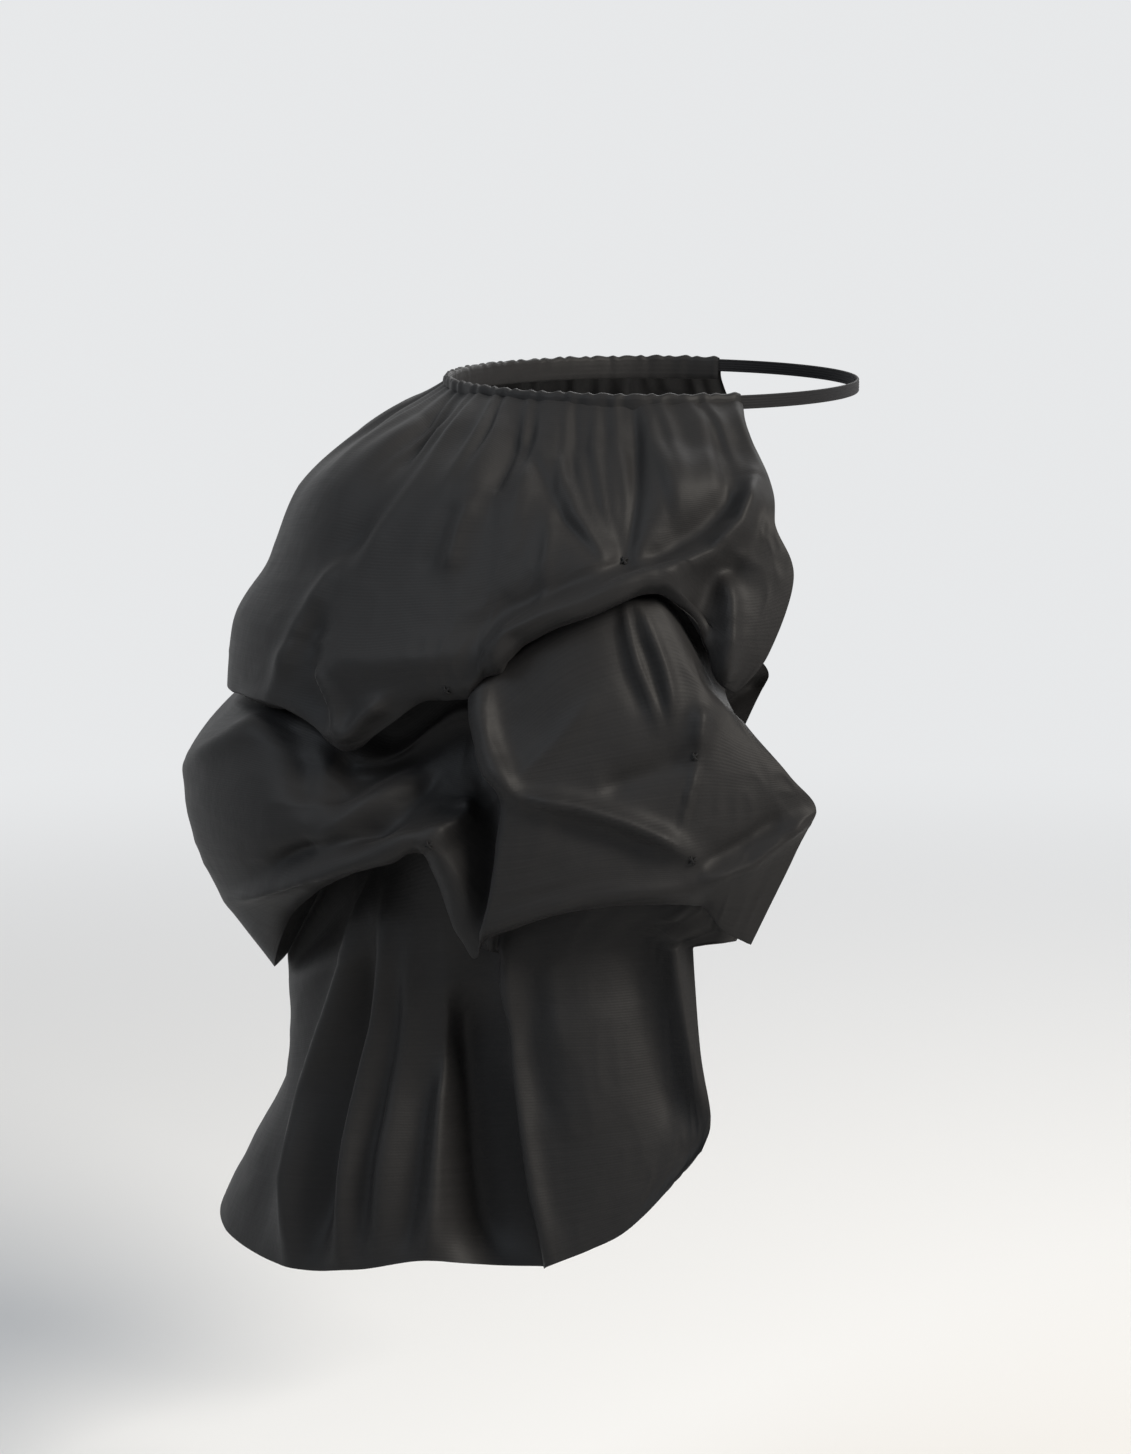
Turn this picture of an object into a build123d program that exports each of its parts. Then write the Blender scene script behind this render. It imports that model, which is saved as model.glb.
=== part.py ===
from build123d import *
import math
import os

# Bustle: one long panel of taffeta gathered into a waist casing on narrow elastic, picked up by
# thread tacks into two tiers of poufs, with the rest hanging as a creased tail.
# Origin at the centre of the waist loop, +Y to the wearer's front, +X to the wearer's right, +Z up.
# All lengths in millimetres.

# waist loop
waist_width = 250.0
waist_depth = 200.0
elastic_width = 6.4
elastic_thickness = 1.2

# casing
casing_height = 12.0
casing_wall = 0.8
channel_clearance = 0.4
seam_gap = 0.3

# drape
drape_length = 430.0
back_reach = 233.0
side_reach = 205.0
front_round = 190.0
cloth_thickness = 1.0
gather_depth = 2.6
funnel_depth = 34.0
crease_height = 10.0

# tucks hidden behind the two rolled folds
upper_tuck_depth = 27.0
upper_tuck_rise = 22.0
upper_layer_gap = 10.0
lower_tuck_depth = 25.0
lower_tuck_rise = 26.0

# thread tacks that hold each tuck up behind its fold
thread_diameter = 1.0
thread_clearance = 0.9
tack_stations = (2, 6)
tack_row_pairs = (("upper_nose", "upper_top"), ("lower_nose", "lower_top"))

# edge of the panel at the waist, degrees in front of the wearer's side
edge_angle = 22.0
back_angle = -90.0
channel_overrun_angle = 2.0

# line of sight of the photograph, level along -X
sight_distance = 1800.0
sight_ahead = -43.0
sight_height = 50.0
sight_rounds = 6

# Pixels of the photograph: the middle of the waist loop, and the spans that show as back_reach and
# drape_length.
waist_pixel = (651, 383)
back_pixels = 466
drop_pixels = 860

# Ten stations run from the side edge to the centre back: side edge, edge pouf, side tack, swag, side of the
# deep channel, channel, back tack, back swag, back pouf, centre back. At the waist they share out the half
# arc.
waist_station_shares = (0.0, 0.09, 0.20, 0.32, 0.43, 0.50, 0.58, 0.71, 0.86, 1.0)

# Fold lines across the panel, from the gathers down to the hem: half width as a share of side_reach, half
# depth in front as a share of front_round, and the pixel where each station shows.
fold_line_pixels = {
    "gathers": (0.70, 0.67, ((748, 425), (722, 428), (668, 432), (605, 436), (556, 438),
                             (525, 438), (492, 436), (440, 428), (398, 420), (372, 423))),
    "upper_shoulder": (0.80, 0.87, ((771, 482), (740, 482), (680, 484), (608, 486), (545, 490),
                                    (505, 490), (462, 490), (395, 486), (340, 480), (305, 486))),
    "upper_belly": (0.88, 1.0, ((775, 520), (748, 528), (672, 530), (605, 536), (535, 555),
                                (490, 570), (440, 575), (365, 575), (303, 568), (268, 568))),
    "upper_low": (0.92, 1.0, ((794, 575), (750, 592), (660, 558), (585, 575), (510, 612),
                              (472, 640), (428, 640), (345, 645), (275, 632), (236, 622))),
    "upper_nose": (0.94, 1.0, ((768, 656), (736, 650), (657, 580), (577, 604), (495, 652),
                               (466, 683), (425, 684), (340, 694), (262, 676), (230, 668))),
    "upper_fold": (0.91, 1.0, ((735, 693), (722, 682), (652, 592), (574, 613), (490, 668),
                               (466, 699), (430, 700), (350, 742), (280, 708), (229, 692))),
    "lower_shoulder": (0.94, 1.0, ((752, 722), (716, 695), (665, 645), (572, 672), (494, 735),
                                   (464, 745), (425, 745), (345, 775), (250, 735), (194, 742))),
    "lower_belly": (1.0, 1.0, ((790, 776), (755, 775), (700, 765), (598, 780), (511, 790),
                               (470, 800), (422, 800), (335, 805), (245, 800), (186, 785))),
    "lower_low": (1.01, 1.0, ((815, 808), (765, 830), (697, 845), (600, 850), (500, 865),
                              (470, 858), (420, 828), (335, 845), (255, 855), (197, 840))),
    "lower_nose": (1.0, 1.0, ((806, 830), (748, 862), (697, 884), (598, 892), (486, 925),
                              (466, 908), (422, 842), (342, 866), (284, 886), (229, 900))),
    "lower_fold": (0.96, 1.0, ((751, 945), (722, 930), (695, 905), (598, 902), (484, 940),
                               (464, 932), (424, 850), (346, 878), (300, 922), (268, 953))),
    "tail_top": (0.87, 1.0, ((693, 948), (672, 948), (640, 948), (575, 950), (507, 955),
                             (490, 955), (440, 950), (385, 950), (330, 965), (291, 988))),
    "tail_middle": (0.89, 1.0, ((700, 1050), (682, 1055), (645, 1060), (585, 1062), (515, 1062),
                                (497, 1060), (432, 1062), (370, 1062), (318, 1065), (281, 1078))),
    "tail_flare": (0.93, 1.0, ((711, 1118), (690, 1140), (652, 1160), (598, 1170), (530, 1178),
                               (508, 1175), (430, 1170), (355, 1172), (288, 1172), (237, 1165))),
    "hem": (0.96, 1.0, ((700, 1150), (672, 1185), (628, 1230), (590, 1250), (547, 1267),
                        (530, 1277), (440, 1262), (352, 1270), (280, 1264), (221, 1222))),
}

# Share of funnel_depth by which a station of a line is drawn in towards the waist axis.
funnel_shares = {
    "upper_belly": {2: 0.12},
    "upper_low": {2: 0.15},
    "lower_shoulder": {5: 0.8, 6: 0.65, 7: 0.26},
    "lower_belly": {5: 0.9, 6: 0.59, 7: 0.12},
    "lower_low": {5: 0.65, 6: 0.24},
    "lower_nose": {5: 0.2},
    "tail_top": {5: 0.44},
    "tail_middle": {5: 0.53},
    "tail_flare": {5: 0.53},
    "hem": {5: 0.47},
}

# Share of the tuck depth left at each station behind a fold, and below the upper one: the cloth is pinched
# where it is tacked and drawn in along the channel.
upper_pinch_shares = (0.8, 0.7, 0.5, 0.4, 0.5, 0.9, 1.0, 1.0, 1.0, 1.0)
lower_pinch_shares = (0.9, 0.8, 0.5, 0.8, 0.8, 0.6, 0.5, 0.9, 0.8, 0.35)
under_pinch_shares = (0.1, 0.1, 0.1, 0.1, 0.15, 0.8, 0.8, 0.4, 0.1, 0.1)

# Steps of a tuck behind its fold: share of the tuck depth inwards and of the tuck rise upwards.
tuck_step_shares = {"rise": (0.6, 0.55), "top": (1.0, 1.0), "descent": (0.95, -0.1)}

# How strongly the lines of the sheet gather below the waist.
gather_fade_shares = {"waist": 1.0, "gathers": 0.75, "upper_shoulder": 0.3, "upper_belly": 0.1}

# Ridges (+) and valleys (-) of the cloth by tier, between the lines where the tier starts and ends: share of
# crease_height, half width in pixels, and the pixels that they run through.
tier_lines = {
    "upper": ("waist", "upper_nose"),
    "lower": ("upper_under", "lower_nose"),
    "tail": ("tail_top", "hem"),
}
crease_pixels = {
    "upper": (
        (-0.7, 9, ((458, 396), (428, 420), (387, 486), (347, 550), (330, 578))),
        (0.5, 7, ((352, 545), (300, 625), (278, 690))),
        (-0.6, 9, ((322, 600), (305, 640), (335, 730))),
        (-0.5, 6, ((541, 412), (537, 465), (606, 562))),
        (-0.6, 6, ((626, 398), (635, 490), (629, 560))),
        (-0.6, 9, ((650, 428), (690, 440), (760, 448))),
        (0.5, 26, ((660, 482), (690, 474), (722, 466))),
        (-0.7, 9, ((740, 490), (705, 526), (640, 566))),
        (1.0, 7, ((752, 478), (739, 527), (712, 554), (658, 577))),
        (-1.3, 12, ((735, 560), (700, 625), (712, 655))),
        (0.7, 7, ((724, 566), (730, 645), (724, 682))),
    ),
    "lower": (
        (0.9, 7, ((487, 676), (489, 721), (516, 795))),
        (0.9, 7, ((516, 795), (580, 807), (665, 838), (693, 857))),
        (-0.6, 9, ((540, 814), (600, 829), (690, 870))),
        (-0.6, 10, ((690, 757), (600, 790))),
        (0.4, 18, ((686, 792), (694, 794))),
        (0.6, 7, ((697, 882), (750, 862), (812, 812))),
        (0.5, 8, ((190, 765), (275, 715))),
        (-0.5, 12, ((285, 712), (302, 760), (300, 805))),
        (-0.8, 10, ((395, 695), (335, 775))),
        (0.7, 7, ((234, 902), (315, 876), (424, 841))),
    ),
    "tail": (
        (0.8, 10, ((385, 868), (340, 1015), (297, 1180), (293, 1262))),
        (-0.6, 12, ((345, 900), (296, 1070), (255, 1235))),
        (0.6, 9, ((397, 885), (385, 1015), (350, 1250))),
        (-0.6, 8, ((372, 960), (330, 1160), (322, 1250))),
        (0.4, 8, ((424, 930), (398, 1065), (385, 1150))),
        (0.5, 8, ((437, 1110), (442, 1258))),
        (-1.2, 22, ((465, 1000), (488, 1200), (495, 1270))),
        (0.7, 8, ((505, 940), (512, 1065), (549, 1262))),
        (-0.9, 16, ((610, 910), (640, 1000), (668, 1045))),
        (0.7, 9, ((668, 905), (695, 1080), (706, 1118))),
    ),
}

# Facets: columns between two stations, the lines of the tucks, which take no row between them, and the half
# width in pixels that a crease is softened to.
columns_per_station = 3
plain_rows = ("upper_fold", "upper_rise", "upper_top", "upper_descent", "upper_under",
              "lower_fold", "lower_rise", "lower_top", "lower_descent")
facet_pixels = 13

half_width = waist_width / 2
half_depth = waist_depth / 2
casing_top = elastic_width / 2 + channel_clearance + casing_wall
casing_bottom = casing_top - casing_height
casing_outer = elastic_thickness + channel_clearance + casing_wall
casing_inner = -(channel_clearance + casing_wall)
station_count = len(waist_station_shares)
half_columns = (station_count - 1) * columns_per_station


def waist_point(angle, offset, height):
    """Point on the waist ellipse, moved out by an offset, at a height."""
    turn = math.radians(angle)
    return Vector((half_width + offset) * math.cos(turn), (half_depth + offset) * math.sin(turn), height)


def outward(point):
    """Level unit vector from the waist axis to a point."""
    return Vector(point.X, point.Y, 0).normalized()


def photo_point(pixel, width, back_end, front_end):
    """Point of a fold line on the line of sight of a pixel: half ellipses in plan about the waist axis."""
    ahead_shown = (pixel[0] - waist_pixel[0]) / back_pixels * back_reach
    height_shown = (waist_pixel[1] - pixel[1]) / drop_pixels * drape_length
    across = width
    for _ in range(sight_rounds):
        nearness = 1 - across / sight_distance
        ahead = sight_ahead + (ahead_shown - sight_ahead) * nearness
        height = sight_height + (height_shown - sight_height) * nearness
        reach = back_end if ahead < 0 else front_end
        across = width * math.sqrt(max(0.0, 1 - (ahead / reach) ** 2))
    return Vector(across, ahead, height)


def shown_pixel(point):
    """Pixel where a point shows. The left side counts as its mirror image on the right."""
    nearness = 1 - abs(point.X) / sight_distance
    ahead_shown = sight_ahead + (point.Y - sight_ahead) / nearness
    height_shown = sight_height + (point.Z - sight_height) / nearness
    return (waist_pixel[0] + ahead_shown / back_reach * back_pixels,
            waist_pixel[1] - height_shown / drape_length * drop_pixels)


def fold_line(name):
    """Points of a named fold line on the wearer's right, drawn in where the cloth is funnelled."""
    width_share, front_share, pixels = fold_line_pixels[name]
    back_end = (waist_pixel[0] - pixels[-1][0]) / back_pixels * back_reach
    points = []
    for station, pixel in enumerate(pixels):
        point = photo_point(pixel, width_share * side_reach, back_end, front_share * front_round)
        pull = funnel_depth * funnel_shares.get(name, {}).get(station, 0.0)
        points.append(point - outward(point) * pull)
    centre = points[-1]
    points[-1] = Vector(0, centre.Y, centre.Z)
    return points


def tuck_line(fold, step, depth, rise, pinch_shares):
    """A line behind a fold: its points moved inwards and upwards by shares of the tuck."""
    in_share, up_share = tuck_step_shares[step]
    points = []
    for point, pinch_share in zip(fold, pinch_shares):
        inwards = outward(point) * (-in_share * depth * pinch_share)
        points.append(point + inwards + Vector(0, 0, up_share * rise * pinch_share))
    return points


def under_line(fold):
    """The line where the cloth comes out again below the upper fold."""
    points = []
    for point, pinch_share in zip(fold, under_pinch_shares):
        inwards = outward(point) * (-upper_tuck_depth * pinch_share)
        points.append(point + inwards - Vector(0, 0, upper_layer_gap))
    return points


def panel_lines():
    """All lines of the right half of the sheet in order from waist to hem, by name."""
    arc = edge_angle - back_angle
    top = casing_bottom - seam_gap
    lines = {"waist": [waist_point(edge_angle - share * arc, casing_outer + gather_depth, top)
                       for share in waist_station_shares]}
    for name in fold_line_pixels:
        lines[name] = fold_line(name)
        if name == "upper_fold":
            for step in tuck_step_shares:
                lines["upper_" + step] = tuck_line(lines[name], step, upper_tuck_depth, upper_tuck_rise,
                                                   upper_pinch_shares)
            lines["upper_under"] = under_line(lines[name])
        if name == "lower_fold":
            for step in tuck_step_shares:
                lines["lower_" + step] = tuck_line(lines[name], step, lower_tuck_depth, lower_tuck_rise,
                                                   lower_pinch_shares)
    return lines


def path_gap(pixel, corners):
    """Distance in pixels from a pixel to a path of straight lines."""
    gaps = []
    for start, end in zip(corners[:-1], corners[1:]):
        run = (end[0] - start[0], end[1] - start[1])
        offset = (pixel[0] - start[0], pixel[1] - start[1])
        share = (offset[0] * run[0] + offset[1] * run[1]) / (run[0] ** 2 + run[1] ** 2)
        share = min(max(share, 0.0), 1.0)
        gaps.append(math.hypot(offset[0] - share * run[0], offset[1] - share * run[1]))
    return min(gaps)


def crease_rise(point, names, place):
    """Height of the ridges and valleys at a point of the sheet, softened to the size of a facet."""
    pixel = shown_pixel(point)
    rise = 0.0
    for tier, (first, last) in tier_lines.items():
        if names.index(first) <= place <= names.index(last):
            for height_share, width_pixels, corners in crease_pixels[tier]:
                soft_pixels = math.hypot(width_pixels, facet_pixels)
                bell = math.exp(-(path_gap(pixel, corners) / soft_pixels) ** 2)
                rise += crease_height * height_share * width_pixels / soft_pixels * bell
    return rise


def shared_slope(before, after):
    """Slope of a smooth curve at a point, from those on both sides, held back so as not to overshoot."""
    if before * after <= 0:
        return 0.0
    return math.copysign(min(abs(before + after) / 2, 2 * abs(before), 2 * abs(after)), after)


def cubic(before, start, end, after, t):
    """Smooth curve between start and end."""
    first = shared_slope(start - before, end - start)
    last = shared_slope(end - start, after - end)
    bend = 3 * (end - start) - 2 * first - last
    return start + first * t + bend * t ** 2 + (first + last - 2 * (end - start)) * t ** 3


def along(points, place):
    """Point of a smooth curve through a list of points at a fractional place."""
    first = min(int(place), len(points) - 2)
    last = len(points) - 1
    stretch = (points[max(first - 1, 0)], points[first], points[first + 1], points[min(first + 2, last)])
    return Vector(*(cubic(*values, place - first) for values in zip(*stretch)))


def fade(shares, names, place):
    """Strength of a ripple at a fractional row, straight between the named lines."""
    first = min(int(place), len(names) - 2)
    low = shares.get(names[first], 0.0)
    return low + (shares.get(names[first + 1], 0.0) - low) * (place - first)


def grid_normals(grid):
    """Outward unit normal at each point of the sheet, halfway between those of the cells above and below."""
    normals = []
    for j, row in enumerate(grid):
        above = grid[max(j - 1, 0)]
        below = grid[min(j + 1, len(grid) - 1)]
        line = []
        for i, point in enumerate(row):
            across = row[min(i + 1, len(row) - 1)] - row[max(i - 1, 0)]
            normal = Vector(0, 0, 0)
            for step in (point - above[i], below[i] - point):
                if step.length > 0:
                    normal += across.cross(step).normalized()
            line.append(normal.normalized())
        normals.append(line)
    return normals


def panel_grid():
    """Face side of the sheet as rows of points, with waist gathers, ridges and valleys."""
    lines = panel_lines()
    names = list(lines)
    full = []
    for name in names:
        right = lines[name]
        left = [Vector(-point.X, point.Y, point.Z) for point in right[-2::-1]]
        full.append(right + left)
    places = []
    for index, name in enumerate(names):
        places.append(float(index))
        if name not in plain_rows and name != "hem":
            places.append(index + 0.5)
    grid = []
    for place in places:
        row = []
        for column in range(2 * half_columns + 1):
            station = column / columns_per_station
            point = along([along(line, station) for line in full], place)
            ripple = gather_depth * fade(gather_fade_shares, names, place) * math.cos(math.pi * column)
            row.append(point + outward(point) * (ripple + crease_rise(point, names, place)))
        grid.append(row)
    return names, places, grid


def facets(upper, lower, flip):
    """Two triangles for each cell between two rows of points."""
    made = []
    for i in range(len(upper) - 1):
        corners = (upper[i], lower[i], lower[i + 1], upper[i + 1])
        if flip:
            corners = corners[::-1]
        made.append(Face(Wire.make_polygon((corners[0], corners[1], corners[2]))))
        made.append(Face(Wire.make_polygon((corners[0], corners[2], corners[3]))))
    return made


def sheet_solid(face_side, back_side):
    """Closed solid between the two sides of a sheet."""
    faces = []
    for j in range(len(face_side) - 1):
        faces += facets(face_side[j], face_side[j + 1], False)
        faces += facets(back_side[j], back_side[j + 1], True)
    faces += facets(back_side[0], face_side[0], False)
    faces += facets(face_side[-1], back_side[-1], False)
    for i, flip in ((0, True), (-1, False)):
        faces += facets([row[i] for row in face_side], [row[i] for row in back_side], flip)
    return Solid(Shell(faces))


row_names, row_places, face_side = panel_grid()
normals = grid_normals(face_side)
back_side = []
for row, row_normals in zip(face_side, normals):
    back_side.append([point - normal * cloth_thickness for point, normal in zip(row, row_normals)])

# Angles round the waist of the columns of the sheet, and those of the channel, which runs out of both ends.
casing_angles = []
for point in face_side[0]:
    angle = math.degrees(math.atan2(point.Y / half_depth, point.X / half_width))
    casing_angles.append(angle if angle < -back_angle else angle - 360)
channel_angles = [casing_angles[0] + channel_overrun_angle] + casing_angles
channel_angles.append(casing_angles[-1] - channel_overrun_angle)
channel_outer = elastic_thickness + channel_clearance
channel_height = elastic_width + 2 * channel_clearance
scallops = []
for column, angle in enumerate(casing_angles):
    scallops.append(waist_point(angle, casing_outer + gather_depth * (1 + math.cos(math.pi * column)), 0))

os.makedirs("parts", exist_ok=True)

# waist elastic: one loop, bare across the front
with BuildPart() as waist_elastic:
    with BuildSketch(Plane.XY.offset(-elastic_width / 2)):
        Ellipse(half_width + elastic_thickness, half_depth + elastic_thickness)
        Ellipse(half_width, half_depth, mode=Mode.SUBTRACT)
    extrude(amount=elastic_width)
waist_elastic.part.label = "waist_elastic"
export_step(waist_elastic.part, "parts/waist_elastic.step")

# waist casing: a puckered band with a channel for the elastic
with BuildPart() as waist_casing:
    with BuildSketch(Plane.XY.offset(casing_bottom)):
        with BuildLine():
            inner = [waist_point(angle, casing_inner, 0) for angle in reversed(casing_angles)]
            Polyline(*scallops, *inner, close=True)
        make_face()
    extrude(amount=casing_height)
    with BuildSketch(Plane.XY.offset(-channel_height / 2)):
        with BuildLine():
            outer = [waist_point(angle, channel_outer, 0) for angle in channel_angles]
            inner = [waist_point(angle, -channel_clearance, 0) for angle in reversed(channel_angles)]
            Polyline(*outer, *inner, close=True)
        make_face()
    extrude(amount=channel_height, mode=Mode.SUBTRACT)
waist_casing.part.label = "waist_casing"
export_step(waist_casing.part, "parts/waist_casing.step")

# draped panel: one sheet from the casing to the hem
panel_solid = sheet_solid(face_side, back_side)
with BuildPart() as draped_panel:
    add(panel_solid)
draped_panel.part.label = "draped_panel"
export_step(draped_panel.part, "parts/draped_panel.step")

# thread tacks: each spans from the back of a pouf to the top of the tuck behind it
row_index = {name: row_places.index(float(place)) for place, name in enumerate(row_names)}
with BuildPart() as tack_stitches:
    for station in tack_stations:
        for column in (station * columns_per_station, 2 * half_columns - station * columns_per_station):
            for pouf_row, tuck_row in tack_row_pairs:
                ends = []
                for row in (row_index[pouf_row], row_index[tuck_row]):
                    ends.append(back_side[row][column] - normals[row][column] * thread_clearance)
                span = ends[1] - ends[0]
                with BuildSketch(Plane(origin=ends[0], z_dir=span)):
                    Circle(thread_diameter / 2)
                extrude(amount=span.length)
tack_stitches.part.label = "tack_stitches"
export_step(tack_stitches.part, "parts/tack_stitches.step")
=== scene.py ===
import math
import bpy
import numpy as np
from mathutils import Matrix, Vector


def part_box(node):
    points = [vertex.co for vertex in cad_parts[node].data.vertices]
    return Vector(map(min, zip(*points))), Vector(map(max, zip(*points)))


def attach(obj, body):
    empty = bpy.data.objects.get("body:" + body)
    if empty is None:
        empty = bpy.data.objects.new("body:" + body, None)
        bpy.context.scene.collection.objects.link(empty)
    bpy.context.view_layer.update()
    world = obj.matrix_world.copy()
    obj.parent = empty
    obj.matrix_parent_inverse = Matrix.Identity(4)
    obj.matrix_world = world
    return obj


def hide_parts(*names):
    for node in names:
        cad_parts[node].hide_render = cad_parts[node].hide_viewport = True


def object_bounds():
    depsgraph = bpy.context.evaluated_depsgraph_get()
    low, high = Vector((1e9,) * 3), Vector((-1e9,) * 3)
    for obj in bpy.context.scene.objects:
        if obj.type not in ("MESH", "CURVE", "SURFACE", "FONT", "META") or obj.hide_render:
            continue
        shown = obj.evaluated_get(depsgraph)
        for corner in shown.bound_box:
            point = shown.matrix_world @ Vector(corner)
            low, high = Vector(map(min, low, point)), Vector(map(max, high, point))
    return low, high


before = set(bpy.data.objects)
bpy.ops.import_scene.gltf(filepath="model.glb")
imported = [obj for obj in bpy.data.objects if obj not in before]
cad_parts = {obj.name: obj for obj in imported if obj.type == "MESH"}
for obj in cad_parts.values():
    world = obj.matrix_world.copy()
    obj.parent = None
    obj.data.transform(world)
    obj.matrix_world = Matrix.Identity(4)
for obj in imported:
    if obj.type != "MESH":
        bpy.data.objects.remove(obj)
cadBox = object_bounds()
mm = 0.001

# Camera on the wearer's right, a little above the waist, aimed at the middle of the drape.
photo = {
    "width": 1131, "height": 1454,      # image size in pixels
    "waistPixel": (651, 383),           # where the middle of the waist loop shows
    "scale": 0.5 * mm,                  # metres to a pixel at the point aimed at
    "distance": 1.8,                    # camera to the plane of the wearer's middle
    "cameraHeight": 140 * mm,
}
aimAt = np.array([0.0, (photo["width"] / 2 - photo["waistPixel"][0]) * photo["scale"],
                  (photo["waistPixel"][1] - photo["height"] / 2) * photo["scale"]])
cameraAt = np.array([photo["distance"], aimAt[1], photo["cameraHeight"]])
aimLength = np.linalg.norm(aimAt - cameraAt)
lookAlong = (aimAt - cameraAt) / aimLength
imageRight = np.array([0.0, 1.0, 0.0])
imageUp = np.cross(imageRight, lookAlong)


# Point where the line of sight through a pixel crosses the upright plane at x: returns y and z.
def pixelToPlane(px, py, x):
    right = (px - photo["width"] / 2) * photo["scale"]
    up = (photo["height"] / 2 - py) * photo["scale"]
    ray = lookAlong * aimLength + right[:, None] * imageRight + up[:, None] * imageUp
    reach = (x - cameraAt[0]) / ray[:, 0]
    return cameraAt[1] + reach * ray[:, 1], cameraAt[2] + reach * ray[:, 2]


# The way back: pixel where a point of space shows.
def spaceToPixel(points):
    away = points - cameraAt
    shrink = aimLength / (away @ lookAlong) / photo["scale"]
    right, up = (away @ imageRight) * shrink, (away @ imageUp) * shrink
    return photo["width"] / 2 + right, photo["height"] / 2 - up


# Smooth curve through rows of values at fractional places, along the first axis: cubic pieces, with the slope
# at each row the mean of those on both sides, held back to twice the smaller and to zero at a turn.
def smoothThrough(values, places):
    steps = np.diff(values, axis=0)
    before = np.concatenate([steps[:1], steps])
    after = np.concatenate([steps, steps[-1:]])
    slopes = np.minimum(np.abs(before + after) / 2, 2 * np.minimum(np.abs(before), np.abs(after)))
    slopes = np.where(before * after > 0, np.sign(after) * slopes, 0)
    first = np.clip(places.astype(int), 0, len(values) - 2)
    t = (places - first).reshape((-1,) + (1,) * (values.ndim - 1))
    rise, m0, m1 = steps[first], slopes[first], slopes[first + 1]
    return values[first] + m0 * t + (3 * rise - 2 * m0 - m1) * t ** 2 + (m0 + m1 - 2 * rise) * t ** 3


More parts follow.
